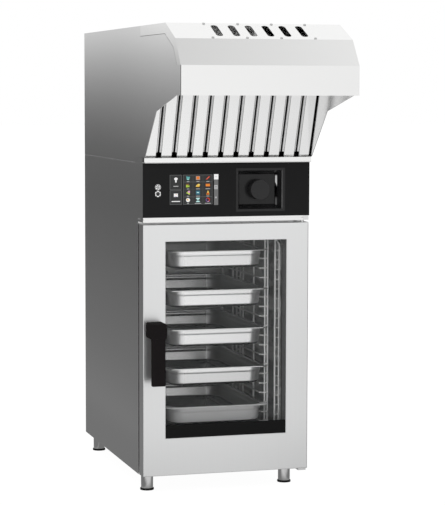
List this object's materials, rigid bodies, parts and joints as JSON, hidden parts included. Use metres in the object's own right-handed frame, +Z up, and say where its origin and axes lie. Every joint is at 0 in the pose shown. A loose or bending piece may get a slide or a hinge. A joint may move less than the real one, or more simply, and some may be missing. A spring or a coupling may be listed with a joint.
{
  "type": "combi oven with condensing hood",
  "caption": "Slim free-standing combi steam oven for gastronorm pans: glazed hinged door, lever handle, touchscreen and push knob, levelling feet and a condensing hood with baffle filter.",
  "frame": {"origin": "on the floor, under the middle of the outline's width and of its depth from the hood's front to the ends of the rear fittings", "axes": "+Z up, +X to the right as seen from the front, the door faces -Y"},
  "size_m": [0.519, 1.259, 1.405],
  "materials": {
    "outer_steel": "fine brushed",
    "door_steel": "fine brushed",
    "inner_steel": "satin",
    "pan_steel": "satin",
    "wire_steel": "bright",
    "black_glass": "gloss",
    "screen_glass": "gloss",
    "window_glass": "clear",
    "recess_black": "gloss",
    "knob_black": "satin",
    "handle_black": "satin",
    "gasket_rubber": "matt",
    "spacer_grey": "satin",
    "foot_black": "matt",
    "leg_steel": "polished",
    "wool": "fibrous",
    "motor_paint": "satin",
    "fitting_plastic": "satin",
    "board_green": "satin",
    "bright_steel": "polished"
  },
  "bodies": {
    "cabinet": {"side_panel_left": "outer_steel", "side_panel_right": "outer_steel", "rear_panel": "outer_steel", "base_panel": "outer_steel", "top_panel": "outer_steel", "front_frame": "outer_steel", "cavity_liner": "inner_steel", "insulation": "wool", "door_gasket": "gasket_rubber", "rack_left": "wire_steel", "rack_right": "wire_steel", "pan_1": "pan_steel", "pan_2": "pan_steel", "pan_3": "pan_steel", "pan_4": "pan_steel", "pan_5": "pan_steel", "fan_baffle": "inner_steel", "fan_motors": "motor_paint", "heating_element": "inner_steel", "steam_pipe": "inner_steel", "cavity_drain": "inner_steel", "rear_connections": "fitting_plastic", "vent_pipe": "inner_steel", "leg_tubes": "leg_steel", "hinge_brackets": "inner_steel", "latch_keeper": "inner_steel", "control_fascia": "black_glass", "touchscreen": "screen_glass", "knob_recess": "recess_black", "encoder_body": "fitting_plastic", "control_board": "board_green", "drip_lip": "outer_steel", "hood_side_left": "outer_steel", "hood_side_right": "outer_steel", "hood_cover": "outer_steel", "hood_screws": "bright_steel", "hood_fascia": "outer_steel", "hood_shell": "outer_steel", "trim_strip": "bright_steel", "mouth_ceiling": "outer_steel", "blower_housing": "outer_steel", "blower_motor": "motor_paint"},
    "door": {"door_frame": "door_steel", "outer_glass": "window_glass", "inner_glass": "window_glass", "glass_spacer": "spacer_grey", "handle_rose": "handle_black"},
    "handle": {"door_handle": "handle_black", "latch_cam": "inner_steel"},
    "knob_plunger": {"encoder_shaft": "inner_steel"},
    "knob": {"control_knob": "knob_black"},
    "upper_fan": {"fan_upper": "inner_steel"},
    "lower_fan": {"fan_lower": "inner_steel"},
    "hood_fan": {"blower_wheel": "inner_steel"},
    "filter": {"baffle_filter": "pan_steel"},
    "foot_front_left": {"foot_1": "foot_black"},
    "foot_front_right": {"foot_2": "foot_black"},
    "foot_back_left": {"foot_3": "foot_black"},
    "foot_back_right": {"foot_4": "foot_black"}
  },
  "joints": [
    {"name": "door_swing", "type": "hinge", "parent": "cabinet", "child": "door", "pos_m": [0.2455, -0.1775, 0.439], "axis": [0, 0, 1], "range_deg": [0, 120]},
    {"name": "handle_turn", "type": "hinge", "parent": "door", "child": "handle", "pos_m": [-0.2255, -0.1995, 0.505], "axis": [0, 1, 0], "range_deg": [-90, 90]},
    {"name": "knob_push", "type": "slide", "parent": "cabinet", "child": "knob_plunger", "axis": [0, 1, 0], "range_m": [0, 0.0018], "stiffness_N_per_m": 2000},
    {"name": "knob_spin", "type": "hinge", "parent": "knob_plunger", "child": "knob", "pos_m": [0.104, -0.1995, 0.918], "axis": [0, 1, 0], "continuous": true},
    {"name": "upper_fan_spin", "type": "hinge", "parent": "cabinet", "child": "upper_fan", "pos_m": [0, 0.4605, 0.6265], "axis": [0, 1, 0], "continuous": true},
    {"name": "lower_fan_spin", "type": "hinge", "parent": "cabinet", "child": "lower_fan", "pos_m": [0, 0.4605, 0.3265], "axis": [0, 1, 0], "continuous": true},
    {"name": "hood_fan_spin", "type": "hinge", "parent": "cabinet", "child": "hood_fan", "pos_m": [0, -0.0195, 1.151], "axis": [0, 1, 0], "continuous": true},
    {"name": "filter_lift", "type": "slide", "parent": "cabinet", "child": "filter", "axis": [0, -0.3584, 0.9336], "range_m": [0, 0.016]},
    {"name": "front_left_levelling", "type": "slide", "parent": "cabinet", "child": "foot_front_left", "axis": [0, 0, -1], "range_m": [0, 0.02]},
    {"name": "front_right_levelling", "type": "slide", "parent": "cabinet", "child": "foot_front_right", "axis": [0, 0, -1], "range_m": [0, 0.02]},
    {"name": "back_left_levelling", "type": "slide", "parent": "cabinet", "child": "foot_back_left", "axis": [0, 0, -1], "range_m": [0, 0.02]},
    {"name": "back_right_levelling", "type": "slide", "parent": "cabinet", "child": "foot_back_right", "axis": [0, 0, -1], "range_m": [0, 0.02]}
  ]
}
